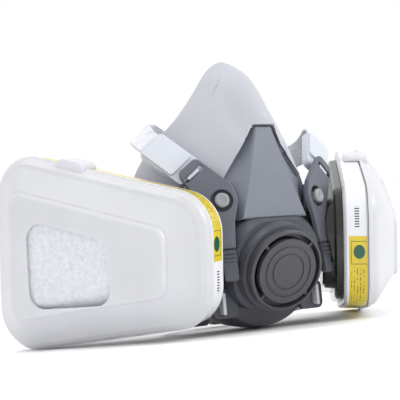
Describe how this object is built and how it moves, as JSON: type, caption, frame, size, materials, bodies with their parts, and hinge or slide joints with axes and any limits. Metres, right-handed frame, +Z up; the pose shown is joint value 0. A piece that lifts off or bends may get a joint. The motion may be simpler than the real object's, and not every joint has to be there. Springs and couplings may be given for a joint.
{
  "type": "half-face respirator",
  "caption": "Half-face respirator: soft face seal on a rigid body with twist-on cartridges, filter retainers, an exhalation valve, yoke arms and an elastic head harness.",
  "frame": {"origin": "centre of the box on the surface that the respirator stands on, resting on the lower edges of its two cartridges", "axes": "+Z up, -Y the front (the exhalation valve), +X to the wearer's left"},
  "size_m": [0.2214, 0.1075, 0.1351],
  "materials": {
    "seal_elastomer": "soft satin moulded elastomer",
    "body_plastic": "dark moulded plastic",
    "shield_plastic": "satin grey plastic",
    "cover_plastic": "dark grey moulded plastic",
    "arm_plastic": "satin slate grey plastic",
    "stud_plastic": "smooth moulded plastic",
    "port_plastic": "moulded plastic",
    "valve_rubber": "thin moulded rubber",
    "base_plastic": "glossy olive-black plastic",
    "canister_plastic": "light grey plastic",
    "label_film": "printed film, white and yellow",
    "sorbent_granules": "packed black granules",
    "filter_fibre": "grey-white non-woven fibre",
    "retainer_plastic": "milky translucent plastic",
    "buckle_plastic": "smooth white plastic",
    "strap_elastic": "ribbed woven elastic",
    "cradle_plastic": "flexible grey plastic",
    "clasp_plastic": "dark moulded plastic"
  },
  "bodies": {
    "root": {"face_seal": "seal_elastomer", "face_body": "body_plastic", "nose_shield": "shield_plastic", "valve_housing": "body_plastic", "exhalation_cover": "cover_plastic", "exhalation_valve_seat": "port_plastic", "head_cradle": "cradle_plastic", "neck_hook": "clasp_plastic", "neck_clip": "clasp_plastic", "yoke_base_left": "body_plastic", "yoke_base_right": "body_plastic", "yoke_stud_left": "stud_plastic", "yoke_stud_right": "stud_plastic", "bayonet_port_left": "port_plastic", "bayonet_port_right": "port_plastic", "inhalation_gasket_left": "valve_rubber", "inhalation_gasket_right": "valve_rubber", "inhalation_valve_seat_left": "port_plastic", "inhalation_valve_seat_right": "port_plastic", "upper_strap_left": "strap_elastic", "upper_strap_right": "strap_elastic", "neck_strap_left": "strap_elastic", "neck_strap_right": "strap_elastic"},
    "exhalation_flap": {"exhalation_valve": "valve_rubber"},
    "yoke_left": {"yoke_arm_left": "arm_plastic", "strap_buckle_left": "buckle_plastic", "strap_end_left": "strap_elastic"},
    "cartridge_left": {"cartridge_base_left": "base_plastic", "cartridge_body_left": "canister_plastic", "cartridge_label_left": "label_film", "sorbent_bed_left": "sorbent_granules", "cartridge_lid_left": "canister_plastic"},
    "retainer_left": {"retainer_left": "retainer_plastic", "particulate_filter_left": "filter_fibre"},
    "inhalation_flap_left": {"inhalation_valve_left": "valve_rubber"},
    "yoke_right": {"yoke_arm_right": "arm_plastic", "strap_buckle_right": "buckle_plastic", "strap_end_right": "strap_elastic"},
    "cartridge_right": {"cartridge_base_right": "base_plastic", "cartridge_body_right": "canister_plastic", "cartridge_label_right": "label_film", "sorbent_bed_right": "sorbent_granules", "cartridge_lid_right": "canister_plastic"},
    "retainer_right": {"retainer_right": "retainer_plastic", "particulate_filter_right": "filter_fibre"},
    "inhalation_flap_right": {"inhalation_valve_right": "valve_rubber"}
  },
  "joints": [
    {"name": "exhalation_flap_lift", "type": "slide", "parent": "root", "child": "exhalation_flap", "axis": [0, -0.9354, -0.3535], "range_m": [0, 0.0012], "stiffness_N_per_m": 40},
    {"name": "cartridge_twist_left", "type": "hinge", "parent": "root", "child": "cartridge_left", "pos_m": [-0.05683, -0.00957, 0.04019], "axis": [0.8259, 0.5571, 0.0872], "range_deg": [0, 32]},
    {"name": "retainer_pull_left", "type": "slide", "parent": "cartridge_left", "child": "retainer_left", "axis": [-0.8259, -0.5571, -0.0872], "range_m": [0, 0.03]},
    {"name": "inhalation_flap_lift_left", "type": "slide", "parent": "root", "child": "inhalation_flap_left", "axis": [0.8259, 0.5571, 0.0872], "range_m": [0, 0.0012], "stiffness_N_per_m": 40},
    {"name": "yoke_swing_left", "type": "hinge", "parent": "root", "child": "yoke_left", "pos_m": [-0.02571, -0.03689, 0.03987], "axis": [0.9085, -0.4179, 0], "range_deg": [0, 8]},
    {"name": "cartridge_twist_right", "type": "hinge", "parent": "root", "child": "cartridge_right", "pos_m": [0.05683, -0.00957, 0.04019], "axis": [0.8259, -0.5571, -0.0872], "range_deg": [0, 32]},
    {"name": "retainer_pull_right", "type": "slide", "parent": "cartridge_right", "child": "retainer_right", "axis": [0.8259, -0.5571, -0.0872], "range_m": [0, 0.03]},
    {"name": "inhalation_flap_lift_right", "type": "slide", "parent": "root", "child": "inhalation_flap_right", "axis": [-0.8259, 0.5571, 0.0872], "range_m": [0, 0.0012], "stiffness_N_per_m": 40},
    {"name": "yoke_swing_right", "type": "hinge", "parent": "root", "child": "yoke_right", "pos_m": [0.02571, -0.03689, 0.03987], "axis": [0.9085, 0.4179, 0], "range_deg": [0, 8]}
  ]
}
